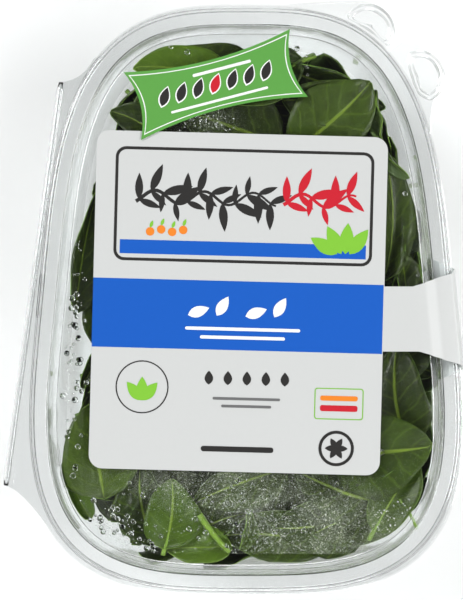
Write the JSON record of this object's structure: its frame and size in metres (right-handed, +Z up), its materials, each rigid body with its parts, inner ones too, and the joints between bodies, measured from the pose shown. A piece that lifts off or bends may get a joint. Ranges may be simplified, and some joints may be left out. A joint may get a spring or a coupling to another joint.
{
  "type": "clamshell of baby spinach",
  "caption": "Shut clear plastic clamshell, narrower at its arched end, with a hinge fold, pull tabs, a label whose strip seals lid to tray, and a heap of spinach leaves.",
  "frame": {"origin": "underside of the tray's floor, at the middle of the body", "axes": "+Z up out of the lid, +Y to the narrow arched end, -X to the hinge fold"},
  "size_m": [0.1861, 0.2392, 0.0705],
  "materials": {
    "clear_pet": "clear, glossy, thermoformed",
    "label_paper": "satin coated",
    "sticker_paper": "satin coated",
    "spinach": "satin leaf"
  },
  "bodies": {
    "root": {"tray": "clear_pet", "lid": "clear_pet", "label": "label_paper", "sticker": "sticker_paper", "spinach_leaves": "spinach"}
  },
  "joints": []
}
